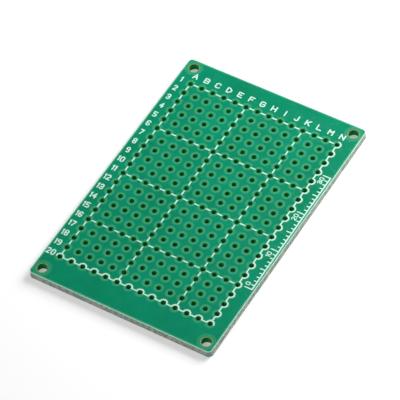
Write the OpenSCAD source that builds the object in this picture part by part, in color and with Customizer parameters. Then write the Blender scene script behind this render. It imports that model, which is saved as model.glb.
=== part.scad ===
// Single-sided prototype board: a drilled laminate with solder mask on both faces, tinned
// round pads on the solder side and a printed grid on the component side.
// X runs across the columns, Y runs from the last row to the first, and Z points out of
// the component side. The origin is under the middle of the board, where the pads rest.

/* [Board] */
// Width of the board, across the columns
board_w = 40; // [20:0.5:120]
// Length of the board, along the rows
board_l = 60; // [25:0.5:180]
// Thickness of the bare laminate
laminate_t = 1.5; // [0.6:0.05:3]
// Radius of the board's corners
corner_r = 1; // [0.3:0.05:3]

/* [Lead holes] */
// Distance from each lead hole to the next, both ways
pitch = 2.54; // [2.4:0.01:5.08]
// Diameter of a lead hole
lead_hole_d = 1; // [0.7:0.05:1.3]
// Least distance from a side edge to the nearest column
side_margin = 2.8; // [2:0.1:8]
// Least distance from an end edge to the nearest row
end_margin = 5.5; // [5:0.1:12]

/* [Mounting holes] */
// Diameter of a mounting hole
mount_hole_d = 2; // [1.5:0.1:3.2]
// Distance from a mounting hole's centre to the side edge and to the end edge
mount_inset = 2; // [1.9:0.1:3]

/* [Solder pads] */
// Diameter of a pad
pad_d = 1.9; // [1.5:0.05:2.2]
// Thickness of the copper in a pad
copper_t = 0.035; // [0.018:0.001:0.105]
// Height of the tin over the copper
tin_t = 0.035; // [0.01:0.001:0.06]
// Width of the slope where the tin thins out towards the pad's edge
tin_slope = 0.15; // [0.05:0.01:0.25]

/* [Solder mask] */
// Thickness of the mask on each face
mask_t = 0.03; // [0.01:0.005:0.05]
// Clearance from the mask to a pad
mask_gap = 0.05; // [0.02:0.01:0.08]
// Width of bare laminate that the mask leaves round a mounting hole
mount_relief = 0.2; // [0.16:0.02:0.4]
// Distance that the mask stays back from the board's edge
mask_setback = 0.15; // [0.05:0.01:0.25]

/* [Printed grid] */
// Number of holes from one printed line to the next
line_step = 5; // [2:1:10]
// Width of a printed line
line_w = 0.3; // [0.15:0.01:0.4]
// Thickness of the ink
ink_t = 0.02; // [0.01:0.005:0.04]
// Gap from the end of a dash to the edge of the hole that it points at
dash_gap = 0.2; // [0.1:0.01:0.5]
// Gap from a line that curves round a hole to the edge of that hole
arc_gap = 0.06; // [0.06:0.01:0.15]

/* [Hidden] */
$fn = 48;

// The grid has as many columns and rows as fit between the margins
columns = floor((board_w - 2 * side_margin) / pitch) + 1;
rows = floor((board_l - 2 * end_margin) / pitch) + 1;

pad_t = copper_t + tin_t;
mount_opening_d = mount_hole_d + 2 * mount_relief;
laminate_z = pad_t;
component_face_z = laminate_z + laminate_t;
ink_z = component_face_z + mask_t;

arc_in_r = lead_hole_d / 2 + arc_gap;
arc_out_r = arc_in_r + line_w;
dash_l = pitch - lead_hole_d - 2 * dash_gap;

function column_x(column) = (column - (columns + 1) / 2) * pitch;
function row_y(row) = ((rows + 1) / 2 - row) * pitch;
function on_line(index, last) = index == last || (index - 1) % line_step == 0;
function pads_name(row) = str("pads_row_", row < 10 ? "0" : "", row);

// Outline of the board, drawn in from its edge by a margin
module board_outline(margin) {
    w = board_w - 2 * margin;
    l = board_l - 2 * margin;
    r = corner_r - margin;
    square([w - 2 * r, l], center = true);
    square([w, l - 2 * r], center = true);
    for (x = [-1, 1], y = [-1, 1])
        translate([x * (w / 2 - r), y * (l / 2 - r)])
            circle(r = r);
}

// Discs at every lead hole
module lead_hole_discs(d) {
    for (column = [1:columns], row = [1:rows])
        translate([column_x(column), row_y(row)])
            circle(d = d);
}

// Discs at the four mounting holes
module mounting_hole_discs(d) {
    for (x = [-1, 1], y = [-1, 1])
        translate([x * (board_w / 2 - mount_inset), y * (board_l / 2 - mount_inset)])
            circle(d = d);
}

// Sheet in the board's outline with an opening at every hole
module drilled_sheet(margin, lead_d, mount_d, thickness) {
    linear_extrude(thickness)
        difference() {
            board_outline(margin);
            lead_hole_discs(lead_d);
            mounting_hole_discs(mount_d);
        }
}

// Glass-epoxy core, drilled through at every lead and mounting hole
module laminate() {
    color("#c8bf96")
        translate([0, 0, laminate_z])
            drilled_sheet(0, lead_hole_d, mount_hole_d, laminate_t);
}

// Mask over the component side, drilled with the laminate at the lead holes
module component_side_mask() {
    color("#0b8a5f")
        translate([0, 0, component_face_z])
            drilled_sheet(mask_setback, lead_hole_d, mount_opening_d, mask_t);
}

// Mask over the solder side, open just round the pads
module solder_side_mask() {
    color("#0b8a5f")
        translate([0, 0, laminate_z - mask_t])
            drilled_sheet(mask_setback, pad_d + 2 * mask_gap, mount_opening_d, mask_t);
}

// Ring of copper under the laminate, with tin that thins out towards its edge
module pad() {
    in_r = lead_hole_d / 2;
    out_r = pad_d / 2;
    rotate_extrude()
        polygon([
            [in_r, 0],
            [out_r - tin_slope, 0],
            [out_r, tin_t],
            [out_r, pad_t],
            [in_r, pad_t]
        ]);
}

// One row of pads, separate from each other
module pads_row(row) {
    color("#c9ccc8")
        for (column = [1:columns])
            translate([column_x(column), row_y(row), 0])
                pad();
}

// Dash between a hole and the next one along X, centred between the two
module dash() {
    translate([(pitch - dash_l) / 2, -line_w / 2])
        square([dash_l, line_w]);
}

// Half ring round the far side of a hole, on the Y side
module half_ring() {
    intersection() {
        difference() {
            circle(r = arc_out_r);
            circle(r = arc_in_r);
        }
        translate([-arc_out_r, 0])
            square([2 * arc_out_r, arc_out_r]);
    }
}

// Stretch of line from one hole's half ring to the next one's, along X
module link() {
    difference() {
        translate([0, -line_w / 2])
            square([pitch, line_w]);
        circle(r = arc_in_r);
        translate([pitch, 0])
            circle(r = arc_in_r);
    }
}

// Dashed lines along the chosen rows and columns, apart from the last of each
module dashed_lines() {
    for (row = [1:rows - 1], column = [1:columns - 1])
        if (on_line(row, rows))
            translate([column_x(column), row_y(row)])
                dash();
    for (column = [1:columns - 1], row = [2:rows])
        if (on_line(column, columns))
            translate([column_x(column), row_y(row)])
                rotate(90)
                    dash();
}

// Unbroken line along the last row, which passes each hole on the side of the first row
module last_row_line() {
    for (column = [1:columns])
        translate([column_x(column), row_y(rows)])
            half_ring();
    for (column = [1:columns - 1])
        translate([column_x(column), row_y(rows)])
            link();
}

// Unbroken line along the last column, which passes each hole on its outer side
module last_column_line() {
    for (row = [1:rows - 1])
        translate([column_x(columns), row_y(row)])
            rotate(-90)
                half_ring();
    for (row = [2:rows])
        translate([column_x(columns), row_y(row)])
            rotate(90)
                link();
}

// Grid of white ink that marks off the holes in squares
module printed_grid() {
    color("#e8f4ec")
        translate([0, 0, ink_z])
            linear_extrude(ink_t) {
                dashed_lines();
                last_row_line();
                last_column_line();
            }
}

laminate();
component_side_mask();
solder_side_mask();
printed_grid();
for (row = [1:rows])
    pads_row(row);
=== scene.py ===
"""Looks of a single-sided prototype board: laminate, solder mask, tinned pads and white print.

Shapes are worked out in millimetres in the CAD model's frame and turned into metres in one
place, add_piece(). Columns run along +X from A, rows run along -Y from 1, and +Z points out
of the component side.
"""
import math
import random

import bmesh
import bpy
import numpy as np
from mathutils import Matrix, Vector
from mathutils.geometry import delaunay_2d_cdt


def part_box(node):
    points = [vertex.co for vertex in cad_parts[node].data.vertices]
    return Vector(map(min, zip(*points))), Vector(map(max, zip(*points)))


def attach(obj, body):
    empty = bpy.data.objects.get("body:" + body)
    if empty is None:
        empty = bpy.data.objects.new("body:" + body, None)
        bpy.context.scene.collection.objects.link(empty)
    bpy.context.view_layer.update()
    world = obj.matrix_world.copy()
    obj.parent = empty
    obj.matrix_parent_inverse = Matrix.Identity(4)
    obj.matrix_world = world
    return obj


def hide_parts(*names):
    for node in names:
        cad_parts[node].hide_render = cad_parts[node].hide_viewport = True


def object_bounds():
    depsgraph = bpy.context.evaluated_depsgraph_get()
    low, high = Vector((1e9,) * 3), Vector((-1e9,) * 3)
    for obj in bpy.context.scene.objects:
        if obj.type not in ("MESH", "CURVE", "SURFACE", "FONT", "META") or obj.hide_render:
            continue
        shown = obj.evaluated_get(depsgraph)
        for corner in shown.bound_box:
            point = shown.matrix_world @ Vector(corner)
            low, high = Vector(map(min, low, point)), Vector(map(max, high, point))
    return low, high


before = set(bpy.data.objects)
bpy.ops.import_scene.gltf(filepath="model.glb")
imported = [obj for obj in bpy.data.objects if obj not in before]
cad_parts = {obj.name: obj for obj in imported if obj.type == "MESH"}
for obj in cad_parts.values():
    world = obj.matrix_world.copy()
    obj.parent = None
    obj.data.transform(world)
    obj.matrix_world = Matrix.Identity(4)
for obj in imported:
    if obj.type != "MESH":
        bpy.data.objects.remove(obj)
cad_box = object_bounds()

MM = 0.001
FULL_TURN = 2 * math.pi
QUARTER_TURN = FULL_TURN / 4
SEED = 7

# Grid of lead holes, and the number of holes from one printed line to the next
COLUMNS = 14
ROWS = 20
PITCH = 2.54
LEAD_HOLE_R = 0.5
LINE_STEP = 5

# Corners and mounting holes
CORNER_R = 1.0
MOUNT_HOLE_R = 1.0
MOUNT_INSET = 2.0

# Solder mask: how far it stays back from the outline, the mounting holes and the pads
MASK_SETBACK = 0.15
MOUNT_RELIEF = 0.2
MASK_GAP = 0.05

# Pads. The tin differs from pad to pad: how full it is, how much thinner it is on one side,
# and where between the pad's inner and outer edge its crown lies
PAD_R = 0.95
TIN_T = 0.035
TIN_FILL = (0.78, 1.0)
TIN_LEAN = (0.0, 0.18)
TIN_CROWN = (0.4, 0.55)

# The tin's cross-section: its points from the inner to the outer edge, and a power that makes
# it fuller than a sine
TIN_POINTS = (0, 0.06, 0.16, 0.32, 0.5, 0.68, 0.84, 0.94, 1)
TIN_POWER = 0.6

# Fillets, which are too fine for the CAD model
LAMINATE_FILLET = 0.03
MASK_FILLET = 0.014

# Printed lines, which wind round a hole in a half ring or stop short of it
LINE_W = 0.3
ARC_GAP = 0.06
ARC_R = LEAD_HOLE_R + ARC_GAP + LINE_W / 2
DASH_GAP = 0.2

# Edges of the print: width of their slope, unevenness as a share of a stroke's half width, and
# the distance within which two points become one
PRINT_SLOPE = 0.012
PRINT_JITTER = 0.03
PRINT_MERGE = 0.001

# Index marks: their distance from the first row and column, and how far towards the back of
# their rows the numbers stand
GLYPH_H = 1.4
GLYPH_STROKE = 0.28
LETTER_W = 1.18
DIGIT_W = 0.9
LETTER_GAP = 2.15
NUMBER_GAP = 2.18
NUMBER_RISE = 0.3

# Millimetre scale in the margin beyond the last column, with the length of the ticks that stand
# at every so many millimetres
SCALE_LENGTH = 30
SCALE_TOP_Y = 16.3
SCALE_X = 19.42
SCALE_LINE_W = 0.28
SCALE_TICK_W = 0.26
SCALE_TICKS = {10: 1.55, 5: 1.05, 1: 0.6}

# Its numbers, which are turned sideways: the zero stands past its tick and the tens before theirs
SCALE_NUMBERED = 10
SCALE_DIGIT_H = 1.0
SCALE_DIGIT_W = 0.78
SCALE_DIGIT_STROKE = 0.2
SCALE_DIGIT_X = 18.04
SCALE_ZERO_ASIDE = 0.95
SCALE_TENS_ASIDE = -1.33

# Number of straight pieces in a full turn, a corner, a stroke's end, a half ring and a fillet
LEAD_HOLE_STEPS = 32
MOUNT_HOLE_STEPS = 64
PAD_STEPS = 40
CORNER_STEPS = 12
CAP_STEPS = 6
ARC_STEPS = 24
FILLET_STEPS = 2


def node_box(node):
    """Lowest and highest corner of a CAD node, in millimetres."""
    low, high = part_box(node)
    return np.array(low) / MM, np.array(high) / MM


def node_heights(node):
    """Heights of a CAD node's lower and upper side."""
    low, high = node_box(node)
    return low[2], high[2]


def column_x(column):
    return (column - (COLUMNS + 1) / 2) * PITCH


def row_y(row):
    return ((ROWS + 1) / 2 - row) * PITCH


board_low, board_high = node_box("laminate")
board_w, board_l = (board_high - board_low)[:2]
laminate_z = node_heights("laminate")
component_mask_z = node_heights("component_side_mask")
solder_mask_z = node_heights("solder_side_mask")
pads_z = node_heights("pads_row_01")
print_z = node_heights("printed_grid")

lead_holes = [(column_x(c), row_y(r)) for c in range(1, COLUMNS + 1) for r in range(1, ROWS + 1)]
mount_x = board_w / 2 - MOUNT_INSET
mount_y = board_l / 2 - MOUNT_INSET
mount_holes = [(sx * mount_x, sy * mount_y) for sx in (-1, 1) for sy in (-1, 1)]


# Colours

def srgb(red, green, blue):
    """Linear colour with alpha, from sRGB values of 0 to 255."""
    def linear(value):
        share = value / 255
        return share / 12.92 if share <= 0.04045 else ((share + 0.055) / 1.055) ** 2.4
    return (linear(red), linear(green), linear(blue), 1.0)


WHITE = (1.0, 1.0, 1.0, 1.0)

MASK_DEEP = srgb(0, 134, 96)
MASK_LIGHT = srgb(0, 148, 109)
MASK_OVER_PAD = srgb(70, 170, 126)
MASK_RIM = srgb(66, 156, 73)
MASK_THIN = srgb(128, 216, 176)
MASK_DARK = srgb(0, 100, 69)

ARRIS_DULL = srgb(176, 232, 204)
ARRIS_PALE = srgb(226, 252, 238)
RIM_OLIVE = srgb(127, 148, 96)

EDGE_DARK = srgb(60, 116, 94)
EDGE_PALE = srgb(170, 202, 186)
EDGE_PINK = srgb(204, 190, 186)
EDGE_FIBRE = srgb(236, 228, 226)

BORE_DARK = srgb(0, 128, 64)
BORE_LIGHT = srgb(0, 172, 90)
# Olive-brown of the bores' upper half: partly scorch, partly painted light
BORE_SCORCH_AND_LIGHT = srgb(68, 140, 58)

TIN_BRIGHT = srgb(234, 234, 229)
TIN_DULL = srgb(206, 202, 190)

INK_WHITE = srgb(210, 243, 230)
INK_THIN = srgb(164, 234, 205)


# Materials

# Repeats of the glass cloth: its threads in the face, and its plies in the side, which sway
THREAD_PITCH = 0.45
PLY_PITCH = 0.2
PLY_SWAY = 0.12

# Distances between which the colour changes: from a lead hole's centre, in from the outline,
# and from a mounting hole's centre
OVER_PAD = (PAD_R - 0.12, PAD_R + 0.2)
LEAD_RIM = (LEAD_HOLE_R + 0.05, LEAD_HOLE_R + 0.22)
THIN_EDGE = (MASK_SETBACK, MASK_SETBACK + 0.3)
MOUNT_HALO = (MOUNT_HOLE_R + 0.7, MOUNT_HOLE_R + 1.0)
MOUNT_RIM = (MOUNT_HOLE_R + 0.3, MOUNT_HOLE_R + 0.5)

# How strongly each of these shows in its colour: on the mask, the other face's pads, its thin
# edge, the halo of a mounting hole and the weave; on the side, the plies, pinkish patches and
# ends of fibres; and in a bore, ends of fibres
PADS_SHOW = 0.85
THIN_SHOW = 0.6
HALO_SHOW = 0.45
WEAVE_SHOW = 0.12
PLIES_SHOW = 0.22
PATCHES_SHOW = 0.7
FIBRES_SHOW = 0.5
BORE_FIBRES_SHOW = 0.1

# Depths of the surface reliefs, and the plies' share in that of the side
PEEL_DEPTH = 0.012
MASK_WEAVE_DEPTH = 0.0012
FACE_WEAVE_DEPTH = 0.004
EDGE_DEPTH = 0.03
BORE_DEPTH = 0.04
TIN_RIPPLE_DEPTH = 0.012
TIN_FROST_DEPTH = 0.0008
INK_DEPTH = 0.006
PLIES_RELIEF = 0.3

# Values between which noise mostly lies
NOISE_LOW = 0.3
NOISE_HIGH = 0.7

# Places of the colour sockets on a Mix node
COLOUR_A = 6
COLOUR_B = 7
COLOUR_OUT = 2


class Graph:
    """A node tree, emptied, with short calls for the nodes that are put into it."""

    def __init__(self, tree):
        self.tree = tree
        self.tree.nodes.clear()

    def add(self, kind, **settings):
        node = self.tree.nodes.new(kind)
        for key, value in settings.items():
            setattr(node, key, value)
        return node

    def link(self, start, end):
        self.tree.links.new(start, end)

    def feed(self, socket, value):
        """A socket's input: another node's output or a plain value."""
        if isinstance(value, bpy.types.NodeSocket):
            self.link(value, socket)
        else:
            socket.default_value = value

    def math(self, operation, *values):
        node = self.add("ShaderNodeMath", operation=operation)
        for socket, value in zip(node.inputs, values):
            self.feed(socket, value)
        return node.outputs[0]

    def product(self, first, *others):
        for other in others:
            first = self.math("MULTIPLY", first, other)
        return first

    def length(self, a, b):
        """Length of a step of a one way and b the other."""
        return self.math("SQRT", self.math("ADD", self.product(a, a), self.product(b, b)))

    def remap(self, value, low, high, to_low=0.0, to_high=1.0, smooth=False):
        """Value carried over from one range to another, whose ends it doesn't pass."""
        node = self.add("ShaderNodeMapRange")
        node.interpolation_type = "SMOOTHSTEP" if smooth else "LINEAR"
        ends = {"From Min": low, "From Max": high, "To Min": to_low, "To Max": to_high}
        for name, number in ends.items():
            node.inputs[name].default_value = number
        self.feed(node.inputs["Value"], value)
        return node.outputs["Result"]

    def spread(self, noise, to_low=0.0, to_high=1.0):
        """Noise spread out over a range."""
        return self.remap(noise, NOISE_LOW, NOISE_HIGH, to_low, to_high)

    def seen(self):
        """1 for what the camera sees itself, in a reflection or through something, else 0."""
        rays = self.add("ShaderNodeLightPath").outputs
        seen = rays["Is Camera Ray"]
        for ray in ("Is Glossy Ray", "Is Transmission Ray"):
            seen = self.math("MAXIMUM", seen, rays[ray])
        return seen


class MaterialGraph(Graph):
    """The node tree of a new material."""

    def __init__(self, name):
        self.material = bpy.data.materials.new(name)
        self.material.use_nodes = True
        super().__init__(self.material.node_tree)
        self.output = self.add("ShaderNodeOutputMaterial")
        coordinates = self.add("ShaderNodeTexCoord")
        millimetres = self.add("ShaderNodeVectorMath", operation="SCALE")
        millimetres.inputs["Scale"].default_value = 1 / MM
        self.link(coordinates.outputs["Object"], millimetres.inputs[0])
        self.place = millimetres.outputs[0]

    def axes(self):
        """The three coordinates of the place, in millimetres."""
        node = self.add("ShaderNodeSeparateXYZ")
        self.link(self.place, node.inputs[0])
        return tuple(node.outputs)

    def noise(self, per_mm, detail=2.0, stretch=(1, 1, 1)):
        """Noise of 0 to 1 whose lumps are about 1 / per_mm millimetres wide."""
        mapping = self.add("ShaderNodeMapping")
        mapping.inputs["Scale"].default_value = stretch
        self.link(self.place, mapping.inputs["Vector"])
        node = self.add("ShaderNodeTexNoise")
        node.inputs["Scale"].default_value = per_mm
        node.inputs["Detail"].default_value = detail
        self.link(mapping.outputs[0], node.inputs["Vector"])
        return node.outputs["Fac"]

    def mix(self, share, first, second):
        """Colour that goes from the first to the second as the share goes from 0 to 1."""
        node = self.add("ShaderNodeMix", data_type="RGBA")
        self.feed(node.inputs["Factor"], share)
        self.feed(node.inputs[COLOUR_A], first)
        self.feed(node.inputs[COLOUR_B], second)
        return node.outputs[COLOUR_OUT]

    def bump(self, height, depth, after=None):
        """Normal of a surface whose height varies by up to depth, in millimetres.

        after is the normal of another relief that this one lies on.
        """
        node = self.add("ShaderNodeBump")
        node.inputs["Strength"].default_value = 1.0
        node.inputs["Distance"].default_value = depth * MM
        self.link(height, node.inputs["Height"])
        if after is not None:
            self.link(after, node.inputs["Normal"])
        return node.outputs["Normal"]

    def principled(self, colour, roughness, normal, **constants):
        """Finishes the material; constants are names of shader sockets, with _ for spaces."""
        shader = self.add("ShaderNodeBsdfPrincipled")
        self.feed(shader.inputs["Base Color"], colour)
        self.feed(shader.inputs["Roughness"], roughness)
        self.feed(shader.inputs["Normal"], normal)
        for name, value in constants.items():
            shader.inputs[name.replace("_", " ")].default_value = value
        self.link(shader.outputs[0], self.output.inputs["Surface"])
        return self.material


def grid_distance(graph):
    """Distance to the nearest lead hole's centre, and 1 in the grid's cells or 0 elsewhere."""
    x, y, _ = graph.axes()
    offsets = []
    inside = []
    for value, count in ((x, COLUMNS), (y, ROWS)):
        steps = graph.math("ADD", graph.math("DIVIDE", value, PITCH), count / 2)
        part = graph.math("SUBTRACT", graph.math("FRACT", steps), 0.5)
        offsets.append(graph.product(part, PITCH))
        reach = graph.math("ABSOLUTE", value)
        inside.append(graph.math("LESS_THAN", reach, count * PITCH / 2))
    return graph.length(*offsets), graph.product(*inside)


def reach_beyond(graph, places):
    """How far out a point lies beyond a place on the X axis and beyond one on the Y axis."""
    return [
        graph.math("SUBTRACT", graph.math("ABSOLUTE", value), place)
        for value, place in zip(graph.axes(), places)
    ]


def mount_distance(graph):
    """Distance to the nearest mounting hole's centre."""
    return graph.length(*reach_beyond(graph, (mount_x, mount_y)))


def outline_distance(graph):
    """Distance in from the board's straight edges."""
    beyond = reach_beyond(graph, (board_w / 2, board_l / 2))
    return graph.product(graph.math("MAXIMUM", *beyond), -1.0)


def glass_weave(graph):
    """Crossed waves of the glass cloth under the surface, from -1 to 1."""
    x, y, _ = graph.axes()
    waves = [
        graph.math("SINE", graph.product(value, FULL_TURN / THREAD_PITCH))
        for value in (x, y)
    ]
    return graph.product(*waves)


def green_mask(name, pads_show):
    """Glossy green solder mask; pads_show is how much the other face's pads lighten it."""
    graph = MaterialGraph(name)
    distance, in_grid = grid_distance(graph)
    weave = glass_weave(graph)

    clouds = graph.noise(per_mm=0.16, detail=3)
    colour = graph.mix(graph.spread(clouds), MASK_DEEP, MASK_LIGHT)

    over_pad = graph.remap(distance, *OVER_PAD, 1, 0, smooth=True)
    uneven = graph.remap(graph.noise(per_mm=3.2, detail=3), 0.35, 0.65, 0.7, 1)
    colour = graph.mix(graph.product(over_pad, in_grid, pads_show, uneven), colour, MASK_OVER_PAD)

    rim = graph.remap(distance, *LEAD_RIM, pads_show, 0)
    frayed = graph.remap(graph.noise(per_mm=1.1, detail=2), 0.35, 0.65, 0.2, 0.9)
    colour = graph.mix(graph.product(rim, in_grid, frayed), colour, MASK_RIM)

    thin = graph.remap(outline_distance(graph), *THIN_EDGE, THIN_SHOW, 0)
    colour = graph.mix(thin, colour, MASK_THIN)
    halo = graph.remap(mount_distance(graph), *MOUNT_HALO, 1, 0, smooth=True)
    colour = graph.mix(graph.product(halo, HALO_SHOW), colour, MASK_OVER_PAD)
    colour = graph.mix(graph.remap(weave, -1, 1, 0, WEAVE_SHOW), colour, MASK_DARK)

    roughness = graph.spread(graph.noise(per_mm=0.5, detail=4), 0.2, 0.3)
    peel = graph.bump(graph.noise(per_mm=1.6, detail=2), PEEL_DEPTH)
    normal = graph.bump(weave, MASK_WEAVE_DEPTH, after=peel)
    return graph.principled(colour, roughness, normal, Specular_IOR_Level=0.3)


def laminate_face():
    """Bare glass epoxy where the mask stays back: pale at the outline, olive at mounting holes."""
    graph = MaterialGraph("laminate_face")
    frayed = graph.noise(per_mm=4, detail=3)
    colour = graph.mix(graph.spread(frayed), ARRIS_DULL, ARRIS_PALE)
    round_hole = graph.remap(mount_distance(graph), *MOUNT_RIM, 1, 0)
    colour = graph.mix(round_hole, colour, RIM_OLIVE)
    roughness = graph.spread(graph.noise(per_mm=6), 0.5, 0.75)
    normal = graph.bump(glass_weave(graph), FACE_WEAVE_DEPTH)
    return graph.principled(colour, roughness, normal)


def laminate_edge():
    """Routed side, where the plies of glass cloth show as pale and dark lines."""
    graph = MaterialGraph("laminate_edge")
    _, _, height = graph.axes()
    sway = graph.product(graph.noise(per_mm=0.6, detail=2), PLY_SWAY)
    plies = graph.math("SINE", graph.product(graph.math("ADD", height, sway), FULL_TURN / PLY_PITCH))
    streaks = graph.noise(per_mm=2.4, detail=5, stretch=(1, 1, 5))
    patches = graph.noise(per_mm=1.2, detail=3, stretch=(1, 1, 0.6))
    fibre_ends = graph.noise(per_mm=11, detail=2, stretch=(1, 1, 0.6))

    tone = graph.math("ADD", graph.product(plies, PLIES_SHOW), streaks)
    colour = graph.mix(graph.remap(tone, 0.3, 0.75), EDGE_DARK, EDGE_PALE)
    colour = graph.mix(graph.remap(patches, 0.42, 0.6, 0, PATCHES_SHOW), colour, EDGE_PINK)
    colour = graph.mix(graph.remap(fibre_ends, 0.58, 0.75, 0, FIBRES_SHOW), colour, EDGE_FIBRE)

    roughness = graph.spread(streaks, 0.6, 0.9)
    relief = graph.math("ADD", graph.product(plies, PLIES_RELIEF), fibre_ends)
    return graph.principled(colour, roughness, graph.bump(relief, EDGE_DEPTH))


def bore_wall():
    """Wall of a drilled hole: green resin with ends of glass fibres, and on its upper half lighter
    olive-brown patches that are partly scorch and partly painted light.
    """
    graph = MaterialGraph("bore_wall")
    _, _, height = graph.axes()
    rings = graph.noise(per_mm=3, detail=4, stretch=(1, 1, 4))
    colour = graph.mix(graph.spread(rings), BORE_DARK, BORE_LIGHT)

    # Painted light: lighter olive-brown patches, partly scorch, laid only on the upper half of the
    # bore so that the wall is lighter towards the face, where light reaches it
    near_face = graph.remap(height, sum(laminate_z) / 2, laminate_z[1], smooth=True)
    scorch_and_light = graph.remap(graph.noise(per_mm=0.45, detail=1), 0.5, 0.7)
    colour = graph.mix(graph.product(scorch_and_light, near_face), colour, BORE_SCORCH_AND_LIGHT)
    fibre_ends = graph.noise(per_mm=12, detail=2)
    colour = graph.mix(graph.remap(fibre_ends, 0.64, 0.76, 0, BORE_FIBRES_SHOW), colour, EDGE_PALE)
    normal = graph.bump(rings, BORE_DEPTH)
    return graph.principled(colour, roughness=0.62, normal=normal, Specular_IOR_Level=0.15)


def tin():
    """Hot-dipped tin, bright with a soft frosting and a few dull spots."""
    graph = MaterialGraph("tin")
    frost = graph.noise(per_mm=7, detail=3)
    spots = graph.noise(per_mm=0.8, detail=3)
    colour = graph.mix(graph.remap(spots, 0.5, 0.75), TIN_BRIGHT, TIN_DULL)
    roughness = graph.spread(frost, 0.2, 0.32)
    ripples = graph.bump(graph.noise(per_mm=1.8, detail=1), TIN_RIPPLE_DEPTH)
    normal = graph.bump(frost, TIN_FROST_DEPTH, after=ripples)
    return graph.principled(colour, roughness, normal, Metallic=1.0)


def white_ink():
    """Screen-printed ink, a little thin in places so that the green tints it."""
    graph = MaterialGraph("white_ink")
    cover = graph.noise(per_mm=2.6, detail=4)
    colour = graph.mix(graph.remap(cover, 0.3, 0.52), INK_THIN, INK_WHITE)
    roughness = graph.spread(cover, 0.55, 0.42)
    normal = graph.bump(graph.noise(per_mm=9, detail=3), INK_DEPTH)
    return graph.principled(colour, roughness, normal)


# Meshes

# What delaunay_2d_cdt() is to give, which is only the triangles inside the loops, and the
# distance within which it takes two points of a sheet as one
INSIDE_LOOPS = 1
SHEET_MERGE = 1e-7


def add_piece(name, vertices, faces, materials, replaced=(), face_materials=None, normals=None):
    """Mesh object from vertices in millimetres, riding on the board."""
    mesh = bpy.data.meshes.new(name)
    mesh.from_pydata([tuple(v) for v in np.asarray(vertices) * MM], [], faces)
    for material in materials:
        mesh.materials.append(material)
    if face_materials is not None:
        mesh.polygons.foreach_set("material_index", face_materials)
    if normals is not None:
        mesh.shade_smooth()
        mesh.normals_split_custom_set([tuple(n) for n in normals])
    mesh.update()
    piece = bpy.data.objects.new(name, mesh)
    bpy.context.scene.collection.objects.link(piece)
    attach(piece, "root")
    if replaced:
        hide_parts(*replaced)
    return piece


def turns(start, end, steps):
    """Unit vectors at equal steps from one angle to another, ends included."""
    angles = np.linspace(start, end, steps + 1)
    return np.stack([np.cos(angles), np.sin(angles)], axis=1)


def hole_loop(centre, radius, steps):
    """Points round a hole, and at each of them the direction into the material."""
    inward = turns(0, FULL_TURN, steps)[:-1]
    return np.array(centre) + radius * inward, inward


def outline_loop(margin):
    """Points round the board's outline, clockwise, and at each the direction into the material."""
    radius = CORNER_R - margin
    x = board_w / 2 - CORNER_R
    y = board_l / 2 - CORNER_R
    points = []
    inward = []
    for index, corner in enumerate(((x, y), (x, -y), (-x, -y), (-x, y))):
        quarter = turns(QUARTER_TURN * (1 - index), -QUARTER_TURN * index, CORNER_STEPS)
        points.append(np.array(corner) + radius * quarter)
        inward.append(-quarter)
    return np.concatenate(points), np.concatenate(inward)


def drilled_loops(margin, lead_r, mount_r):
    """The board's outline and all its holes."""
    leads = [hole_loop(centre, lead_r, LEAD_HOLE_STEPS) for centre in lead_holes]
    mounts = [hole_loop(centre, mount_r, MOUNT_HOLE_STEPS) for centre in mount_holes]
    return [outline_loop(margin), *leads, *mounts]


def side_corner(height, fillet, up):
    """Points of a sheet's side where it meets the top face (up is 1) or the bottom face (-1).

    Each point is its distance in from the edge, its height, and the outward and upward parts
    of its normal.
    """
    if fillet == 0:
        return [(0.0, height, 1.0, 0.0)]
    start = 0.0 if up == 1 else QUARTER_TURN
    points = []
    for step in range(FILLET_STEPS + 1):
        angle = start + QUARTER_TURN * step / FILLET_STEPS
        outward = math.sin(angle)
        upward = math.cos(angle)
        drop = fillet * (1 - abs(upward))
        points.append((fillet * (1 - outward), height - up * drop, outward, upward))
    return points


def side_profile(low, high, low_fillet, high_fillet):
    """Side of a sheet from its top face to its bottom face, as points of side_corner()."""
    return side_corner(high, high_fillet, 1) + side_corner(low, low_fillet, -1)


def band(first, second, count):
    """Quads between two closed rings of as many vertices, given the index of each ring's first."""
    steps = [(i, (i + 1) % count) for i in range(count)]
    return [(first + i, first + j, second + j, second + i) for i, j in steps]


def ring_indices(loops):
    """For each loop, the places of its points in one list of all the loops' points."""
    starts = np.cumsum([0] + [len(loop) for loop in loops])
    return [list(range(start, end)) for start, end in zip(starts, starts[1:])]


def anticlockwise(points, face):
    """The triangle, turned over if it runs clockwise."""
    a, b, c = (points[i] for i in face)
    return face if (b - a).cross(c - a) > 0 else face[::-1]


def flat_triangles(loops):
    """Triangles inside the first loop, which runs clockwise, and outside the others.

    Each is the places of three points in one list of all the loops' points, anticlockwise.
    """
    points = [Vector(point) for loop in loops for point in loop]
    rings = ring_indices(loops)
    rings[0].reverse()
    _, _, faces, origins, _, owners = delaunay_2d_cdt(points, [], rings, INSIDE_LOOPS, SHEET_MERGE)
    in_outline_only = [face for face, owner in zip(faces, owners) if owner == [0]]
    return [anticlockwise(points, [origins[v][0] for v in face]) for face in in_outline_only]


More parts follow.
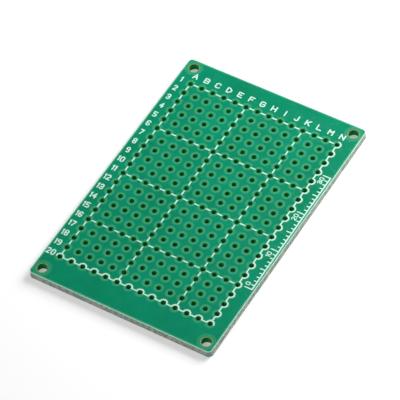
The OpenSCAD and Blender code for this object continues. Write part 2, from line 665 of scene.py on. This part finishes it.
def sheet_piece(name, loops, profile, materials, replaced):
    """Sheet with holes and filleted edges.

    The loops are the outline and then the holes, each with its inward directions. The
    materials are those of the faces, of the outline's side and of the holes' walls.
    """
    vertices = []
    vertex_normals = []
    faces = []
    face_materials = []
    tops = []
    bottoms = []
    for index, (points, inward) in enumerate(loops):
        count = len(points)
        start = len(vertices)
        last = start + (len(profile) - 1) * count
        for inset, height, outward, upward in profile:
            vertices.extend(np.column_stack([points + inset * inward, np.full(count, height)]))
            vertex_normals.extend(np.column_stack([-outward * inward, np.full(count, upward)]))
        for ring in range(start, last, count):
            faces.extend(band(ring, ring + count, count))
        face_materials.extend([1 if index == 0 else 2] * (last - start))
        tops.extend(range(start, start + count))
        bottoms.extend(range(last, last + count))
    normals = [vertex_normals[v] for face in faces for v in face]

    inset = profile[0][0]
    for triangle in flat_triangles([points + inset * inward for points, inward in loops]):
        faces.append(tuple(tops[i] for i in triangle))
        faces.append(tuple(bottoms[i] for i in reversed(triangle)))
        face_materials.extend((0, 0))
        normals.extend([(0, 0, 1)] * 3 + [(0, 0, -1)] * 3)
    return add_piece(name, vertices, faces, materials, replaced, face_materials, normals)


def make_laminate():
    profile = side_profile(*laminate_z, LAMINATE_FILLET, LAMINATE_FILLET)
    loops = drilled_loops(0, LEAD_HOLE_R, MOUNT_HOLE_R)
    materials = [laminate_face(), laminate_edge(), bore_wall()]
    sheet_piece("laminate_core", loops, profile, materials, ["laminate"])


def make_masks():
    mount_r = MOUNT_HOLE_R + MOUNT_RELIEF
    component = [green_mask("component_mask_green", PADS_SHOW)] * 3
    loops = drilled_loops(MASK_SETBACK, LEAD_HOLE_R, mount_r)
    profile = side_profile(*component_mask_z, 0, MASK_FILLET)
    sheet_piece("component_mask_coat", loops, profile, component, ["component_side_mask"])

    solder = [green_mask("solder_mask_green", 0.0)] * 3
    loops = drilled_loops(MASK_SETBACK, PAD_R + MASK_GAP, mount_r)
    profile = side_profile(*solder_mask_z, MASK_FILLET, 0)
    sheet_piece("solder_mask_coat", loops, profile, solder, ["solder_side_mask"])


def pad_rings(rng):
    """Radius and heights of each ring round a pad, from its inner to its outer top corner."""
    low, high = pads_z
    angles = np.linspace(0, FULL_TURN, PAD_STEPS, endpoint=False)
    lean = rng.uniform(*TIN_LEAN)
    towards = rng.uniform(0, FULL_TURN)
    fill = rng.uniform(*TIN_FILL)
    thickness = TIN_T * fill * (1 - lean * (0.5 + 0.5 * np.cos(angles - towards)))
    crown = rng.uniform(*TIN_CROWN)

    rings = [(LEAD_HOLE_R, np.full(PAD_STEPS, high))]
    for share in TIN_POINTS:
        reach = share / crown / 2 if share < crown else 0.5 + (share - crown) / (1 - crown) / 2
        dome = math.sin(math.pi * reach) ** TIN_POWER
        rings.append((LEAD_HOLE_R + share * (PAD_R - LEAD_HOLE_R), low + TIN_T - thickness * dome))
    rings.append((PAD_R, np.full(PAD_STEPS, high)))
    return rings


def make_pads():
    """One piece for each row of pads; every pad's tin has set a little differently."""
    finish = tin()
    rng = random.Random(SEED)
    around = turns(0, FULL_TURN, PAD_STEPS)[:-1]
    for row in range(1, ROWS + 1):
        vertices = []
        faces = []
        for column in range(1, COLUMNS + 1):
            centre = np.array((column_x(column), row_y(row)))
            rings = pad_rings(rng)
            starts = [len(vertices) + ring * PAD_STEPS for ring in range(len(rings))]
            for radius, heights in rings:
                vertices.extend(np.column_stack([centre + radius * around, heights]))
            for ring, start in enumerate(starts):
                faces.extend(band(start, starts[(ring + 1) % len(rings)], PAD_STEPS))
        number = f"{row:02d}"
        nodes = [f"pads_row_{number}"]
        piece = add_piece(f"tinned_pads_{number}", vertices, faces, [finish], nodes)
        smooth_but_for_corners(piece)


def smooth_but_for_corners(piece, limit=math.radians(50)):
    """Smooth shading that keeps the edges where faces meet at more than the limit."""
    mesh = piece.data
    mesh.shade_smooth()
    work = bmesh.new()
    work.from_mesh(mesh)
    for edge in work.edges:
        edge.smooth = edge.calc_face_angle(0) < limit
    work.to_mesh(mesh)
    work.free()


# Print

def jitter(rng):
    """Share of its half width at which a printed edge lies."""
    return 1 + rng.uniform(-PRINT_JITTER, PRINT_JITTER)


def stroke(start, end, width, rng):
    """Outline of a straight printed stroke with round ends, anticlockwise."""
    start, end = np.array(start, float), np.array(end, float)
    heading = math.atan2(*(end - start)[::-1])
    caps = (
        (end, turns(heading - QUARTER_TURN, heading + QUARTER_TURN, CAP_STEPS)),
        (start, turns(heading + QUARTER_TURN, heading + 3 * QUARTER_TURN, CAP_STEPS)),
    )
    return [tuple(centre + arm * width / 2 * jitter(rng)) for centre, arms in caps for arm in arms]


def half_ring(centre, middle, rng):
    """Outline of a printed half ring with round ends; middle is the angle midway along it."""
    centre = np.array(centre)
    half_w = LINE_W / 2
    arms = turns(middle - QUARTER_TURN, middle + QUARTER_TURN, ARC_STEPS)
    wobble = [jitter(rng) for _ in arms]
    outer = [centre + arm * (ARC_R + half_w * w) for arm, w in zip(arms, wobble)]
    inner = [centre + arm * (ARC_R - half_w * w) for arm, w in zip(arms, wobble)]
    last_cap = turns(middle + QUARTER_TURN, middle + 3 * QUARTER_TURN, CAP_STEPS)[1:-1]
    first_cap = turns(middle - 3 * QUARTER_TURN, middle - QUARTER_TURN, CAP_STEPS)[1:-1]
    last_end = [centre + arms[-1] * ARC_R + arm * half_w for arm in last_cap]
    first_end = [centre + arms[0] * ARC_R + arm * half_w for arm in first_cap]
    return [tuple(point) for point in [*outer, *last_end, *inner[::-1], *first_end]]


def border_edges(faces):
    """Edges of triangles that no second triangle shares, each with its triangle on the left."""
    directed = {(face[i], face[i - 2]) for face in faces for i in range(3)}
    return [(a, b) for a, b in directed if (b, a) not in directed]


def outward_directions(points, border):
    """For each point on the border the direction away from the triangles, and 0 for the others."""
    outward = np.zeros((len(points), 2))
    for a, b in border:
        along = points[b] - points[a]
        side = np.array((along.y, -along.x)) / along.length
        outward[a] += side
        outward[b] += side
    lengths = np.linalg.norm(outward, axis=1)
    outward[lengths > 0] /= lengths[lengths > 0, None]
    return outward


def print_piece(name, shapes, ink, replaced=()):
    """Ink in the union of closed outlines, which may overlap, with edges that slope down."""
    points = [Vector(point) for shape in shapes for point in shape]
    rings = ring_indices(shapes)
    flat, _, faces, _, _, owners = delaunay_2d_cdt(points, [], rings, INSIDE_LOOPS, PRINT_MERGE)
    faces = [anticlockwise(flat, face) for face, owner in zip(faces, owners) if owner]
    border = border_edges(faces)
    base = np.array([tuple(point) for point in flat])
    top = base - PRINT_SLOPE * outward_directions(flat, border)
    count = len(flat)
    vertices = np.concatenate([
        np.column_stack([top, np.full(count, print_z[1])]),
        np.column_stack([base, np.full(count, print_z[0])]),
    ])
    upper = [tuple(face) for face in faces]
    lower = [tuple(v + count for v in reversed(face)) for face in faces]
    sides = [(b, a, a + count, b + count) for a, b in border]
    add_piece(name, vertices, upper + lower + sides, [ink], replaced)


def dash_shapes(rng):
    """Dashes between the holes of every fifth column and row from the first."""
    half = PITCH / 2 - LEAD_HOLE_R - DASH_GAP - LINE_W / 2
    shapes = []
    for row in range(1, ROWS, LINE_STEP):
        for column in range(1, COLUMNS):
            x, y = column_x(column) + PITCH / 2, row_y(row)
            shapes.append(stroke((x - half, y), (x + half, y), LINE_W, rng))
    for column in range(1, COLUMNS, LINE_STEP):
        for row in range(2, ROWS + 1):
            x, y = column_x(column), row_y(row) + PITCH / 2
            shapes.append(stroke((x, y - half), (x, y + half), LINE_W, rng))
    return shapes


def winding_shapes(rng):
    """Unbroken lines of the last row and the last column, which pass each hole in a half ring."""
    shapes = []
    for column in range(1, COLUMNS + 1):
        x, y = column_x(column), row_y(ROWS)
        shapes.append(half_ring((x, y), QUARTER_TURN, rng))
        if column < COLUMNS:
            shapes.append(stroke((x + ARC_R, y), (x + PITCH - ARC_R, y), LINE_W, rng))
    for row in range(1, ROWS):
        x, y = column_x(COLUMNS), row_y(row)
        shapes.append(half_ring((x, y), 0, rng))
        shapes.append(stroke((x, y - ARC_R), (x, y - PITCH + ARC_R), LINE_W, rng))
    return shapes


# Strokes of each character on a grid 4 wide and 6 high, each point written as its two coordinates
GLYPHS = {
    "A": "00 26 40,12 32",
    "B": "00 06 36 45 44 33 03,33 42 41 30 00",
    "C": "45 36 16 05 01 10 30 41",
    "D": "00 06 26 44 42 20 00",
    "E": "46 06 00 40,03 33",
    "F": "46 06 00,03 33",
    "G": "45 36 16 05 01 10 30 41 43 23",
    "H": "00 06,40 46,03 43",
    "I": "20 26",
    "J": "36 31 20 10 01",
    "K": "00 06,46 02,13 40",
    "L": "06 00 40",
    "M": "00 06 23 46 40",
    "N": "00 06 40 46",
    "0": "10 01 05 16 36 45 41 30 10",
    "1": "15 26 20",
    "2": "05 16 36 45 44 00 40",
    "3": "05 16 36 45 44 33 13,33 42 41 30 10 01",
    "4": "30 36 02 42",
    "5": "46 06 03 33 42 41 30 00",
    "6": "45 36 16 05 01 10 30 41 42 33 03",
    "7": "06 46 10",
    "8": "13 04 05 16 36 45 44 33 13 02 01 10 30 41 42 33",
    "9": "43 13 04 05 16 36 45 41 30 10",
}
GLYPH_COLUMNS = 4
GLYPH_ROWS = 6

# First and last grid column of the characters that don't fill the grid
NARROW = {"I": (2, 2), "1": (1, 2), "J": (0, 3)}

# Space between two characters, as a share of their stroke
GLYPH_SPACE = 0.5


def text_lines(text, height, width, stroke_w):
    """Lines along a word's strokes, centred on the origin; width is that of a full letter."""
    across = (width - stroke_w) / GLYPH_COLUMNS
    up = (height - stroke_w) / GLYPH_ROWS
    space = stroke_w * (1 + GLYPH_SPACE)
    cursor = 0.0
    lines = []
    for character in text:
        first, last = NARROW.get(character, (0, GLYPH_COLUMNS))
        for line in GLYPHS[character].split(","):
            cells = [(int(point[0]) - first, int(point[1]) - GLYPH_ROWS / 2) for point in line.split()]
            lines.append([(cursor + column * across, row * up) for column, row in cells])
        cursor += (last - first) * across + space
    middle = (cursor - space) / 2
    return [[(x - middle, y) for x, y in line] for line in lines]


def text_shapes(text, centre, height, width, stroke_w, rng, turn=0.0):
    """Strokes of a word centred on a point and turned by an angle."""
    c, s = math.cos(turn), math.sin(turn)
    shapes = []
    for line in text_lines(text, height, width, stroke_w):
        placed = [(centre[0] + x * c - y * s, centre[1] + x * s + y * c) for x, y in line]
        shapes += [stroke(start, end, stroke_w, rng) for start, end in zip(placed, placed[1:])]
    return shapes


def letter_shapes(rng):
    """A letter behind each column."""
    shapes = []
    for column in range(1, COLUMNS + 1):
        letter = chr(ord("A") + column - 1)
        place = (column_x(column), row_y(1) + LETTER_GAP)
        shapes += text_shapes(letter, place, GLYPH_H, LETTER_W, GLYPH_STROKE, rng)
    return shapes


def number_shapes(rng):
    """A number beside each row."""
    shapes = []
    for row in range(1, ROWS + 1):
        place = (column_x(1) - NUMBER_GAP, row_y(row) + NUMBER_RISE)
        shapes += text_shapes(str(row), place, GLYPH_H, DIGIT_W, GLYPH_STROKE, rng)
    return shapes


def scale_shapes(rng):
    """Millimetre scale along the right edge, with its tens numbered."""
    zero_y = SCALE_TOP_Y - SCALE_LENGTH
    shapes = [stroke((SCALE_X, SCALE_TOP_Y), (SCALE_X, zero_y), SCALE_LINE_W, rng)]
    for mark in range(SCALE_LENGTH + 1):
        y = zero_y + mark
        length = next(SCALE_TICKS[step] for step in SCALE_TICKS if mark % step == 0)
        shapes.append(stroke((SCALE_X - length, y), (SCALE_X, y), SCALE_TICK_W, rng))
    for mark in range(0, SCALE_LENGTH + 1, SCALE_NUMBERED):
        aside = SCALE_TENS_ASIDE if mark else SCALE_ZERO_ASIDE
        place = (SCALE_DIGIT_X, zero_y + mark + aside)
        size = (SCALE_DIGIT_H, SCALE_DIGIT_W, SCALE_DIGIT_STROKE)
        shapes += text_shapes(str(mark), place, *size, rng, turn=QUARTER_TURN)
    return shapes


def make_print():
    ink = white_ink()
    rng = random.Random(SEED)
    grid = dash_shapes(rng) + winding_shapes(rng)
    print_piece("printed_grid_ink", grid, ink, ["printed_grid"])
    print_piece("column_letters_ink", letter_shapes(rng), ink)
    print_piece("row_numbers_ink", number_shapes(rng), ink)
    print_piece("edge_scale_ink", scale_shapes(rng), ink)


# Floor, light and camera

# Floor, in metres. Its glow to the camera rises between two distances from the middle of the
# board, in millimetres, because the lamps light it less and less
FLOOR_SIZE = 6.0
FLOOR_GAP = 0.00002
FLOOR_COLOUR = (0.8, 0.8, 0.8, 1.0)
FLOOR_NEAR_FAR = (60, 500)
FLOOR_GLOW = (0.35, 1.0)

# Light from the sky, and how high up the white band fades into it, as the upward part of a
# direction
SKY_LEVEL = 0.12
BAND_TOP = 0.4
SKY_START = 0.7

# Camera, in metres from the middle of the board's upper face
CAMERA_PLACE = (0.2057, -0.2940, 0.4542)
CAMERA_ROLL = math.radians(-5.445)
CAMERA_LENS = 272.8
CAMERA_NEAREST = 0.01


def make_floor():
    """Plain white floor that shows white to the camera and keeps the board's shadow."""
    bpy.ops.mesh.primitive_plane_add(size=FLOOR_SIZE, location=(0, 0, -FLOOR_GAP))
    floor = bpy.context.object
    floor.name = "floor"
    graph = MaterialGraph("floor_white")
    x, y, _ = graph.axes()
    level = graph.remap(graph.length(x, y), *FLOOR_NEAR_FAR, *FLOOR_GLOW)
    glow = graph.add("ShaderNodeEmission")
    graph.feed(glow.inputs["Strength"], graph.product(graph.seen(), level))
    diffuse = graph.add("ShaderNodeBsdfDiffuse")
    graph.feed(diffuse.inputs["Color"], FLOOR_COLOUR)
    both = graph.add("ShaderNodeAddShader")
    graph.link(diffuse.outputs[0], both.inputs[0])
    graph.link(glow.outputs[0], both.inputs[1])
    graph.link(both.outputs[0], graph.output.inputs["Surface"])
    floor.data.materials.append(graph.material)


def make_world():
    """White band round the horizon, for the camera and in reflections, under a dim sky."""
    world = bpy.data.worlds.new("studio")
    bpy.context.scene.world = world
    world.use_nodes = True
    graph = Graph(world.node_tree)
    coordinates = graph.add("ShaderNodeTexCoord")
    direction = graph.add("ShaderNodeSeparateXYZ")
    graph.link(coordinates.outputs["Generated"], direction.inputs[0])
    white_band = graph.remap(direction.outputs["Z"], BAND_TOP, SKY_START, 1, 0, smooth=True)
    strength = graph.remap(graph.product(graph.seen(), white_band), 0, 1, SKY_LEVEL, 1)
    background = graph.add("ShaderNodeBackground")
    graph.feed(background.inputs["Color"], WHITE)
    graph.feed(background.inputs["Strength"], strength)
    output = graph.add("ShaderNodeOutputWorld")
    graph.link(background.outputs[0], output.inputs["Surface"])


def add_lamp(name, place, size, level):
    """Square area lamp aimed at the board; level is how bright it makes a white face turned to it."""
    lamp = bpy.data.lights.new(name, "AREA")
    lamp.size = size
    lamp.energy = level * math.pi ** 2 * Vector(place).length ** 2
    thing = bpy.data.objects.new(name, lamp)
    thing.location = place
    thing.rotation_euler = Vector(place).to_track_quat("Z", "Y").to_euler()
    bpy.context.scene.collection.objects.link(thing)


def make_lamps():
    """A key lamp above and behind the board and a large, weaker fill lamp in front of it."""
    add_lamp("key", place=(0.07, 0.155, 0.145), size=0.16, level=1.28)
    add_lamp("fill", place=(-0.3, -0.55, 0.5), size=0.6, level=0.33)


def make_camera():
    """The photograph's view of the board."""
    camera = bpy.data.objects.new("camera", bpy.data.cameras.new("camera"))
    bpy.context.scene.collection.objects.link(camera)
    place = Vector(CAMERA_PLACE)
    target = Vector((0, 0, cad_box[1].z))
    aim = place.to_track_quat("Z", "Y").to_matrix().to_4x4()
    roll = Matrix.Rotation(CAMERA_ROLL, 4, "Z")
    camera.matrix_world = Matrix.Translation(target + place) @ aim @ roll
    camera.data.lens = CAMERA_LENS
    camera.data.clip_start = CAMERA_NEAREST
    bpy.context.scene.camera = camera


make_laminate()
make_masks()
make_pads()
make_print()
make_floor()
make_world()
make_lamps()
make_camera()
bpy.context.scene.view_settings.view_transform = "Standard"
